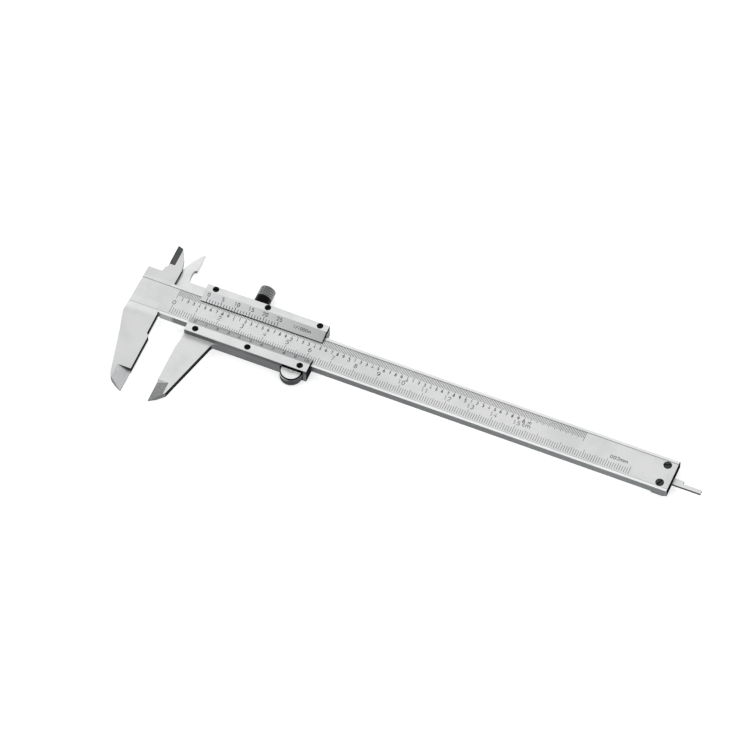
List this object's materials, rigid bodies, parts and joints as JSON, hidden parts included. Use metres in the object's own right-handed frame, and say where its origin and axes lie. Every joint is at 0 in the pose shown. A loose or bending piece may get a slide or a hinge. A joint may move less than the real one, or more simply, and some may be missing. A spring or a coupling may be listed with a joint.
{
  "type": "vernier caliper",
  "caption": "Vernier caliper with outside jaws, inside jaws, a depth rod, a thumb roller and a lock screw on the sliding jaw.",
  "frame": {"origin": "middle of the slider's flat back, on the beam's centre line, with the jaws 12 mm open", "axes": "+X along the beam away from the jaws, +Y to the inside jaws, +Z out of the graduated face"},
  "size_m": [0.2473, 0.0736, 0.0069],
  "materials": {
    "satin_steel": "satin chrome on hardened steel",
    "vernier_steel": "satin chrome with grey bevels and engraved marks",
    "black_steel": "black oxide",
    "bright_steel": "polished"
  },
  "bodies": {
    "beam": {"main_beam": "satin_steel", "end_stop_plate": "satin_steel", "end_plate_screw_1": "black_steel", "end_plate_screw_2": "black_steel"},
    "slider": {"slider_frame": "satin_steel", "inch_vernier_plate": "vernier_steel", "metric_vernier_plate": "vernier_steel", "upper_plate_screw_1": "black_steel", "upper_plate_screw_2": "black_steel", "upper_plate_screw_3": "black_steel", "lower_plate_screw_1": "black_steel", "lower_plate_screw_2": "black_steel", "lower_plate_screw_3": "black_steel", "gib_set_screw_1": "black_steel", "gib_set_screw_2": "black_steel", "roller_pin": "bright_steel", "depth_rod": "satin_steel", "depth_rod_rivet_1": "bright_steel", "depth_rod_rivet_2": "bright_steel"},
    "gib": {"gib_strip": "satin_steel"},
    "lock": {"lock_screw": "black_steel"},
    "roller": {"thumb_roller": "bright_steel"}
  },
  "joints": [
    {"name": "slider_travel", "type": "slide", "parent": "beam", "child": "slider", "axis": [1, 0, 0], "range_m": [-0.01199, 0.14]},
    {"name": "gib_press", "type": "slide", "parent": "slider", "child": "gib", "axis": [0, -1, 0], "range_m": [0, 0.000125]},
    {"name": "lock_turn", "type": "hinge", "parent": "gib", "child": "lock", "pos_m": [-0.004, 0.0158, 0.0035], "axis": [0, -1, 0], "range_deg": [0, 100]},
    {"name": "roller_turn", "type": "hinge", "parent": "slider", "child": "roller", "pos_m": [0.0203, -0.0123, 0.0025], "axis": [0, 0, 1], "continuous": true}
  ],
  "couplings": [
    {"joint": "lock_turn", "follows": "gib_press", "rad_per_m": 13963},
    {"joint": "roller_turn", "follows": "slider_travel", "rad_per_m": 212.77}
  ]
}
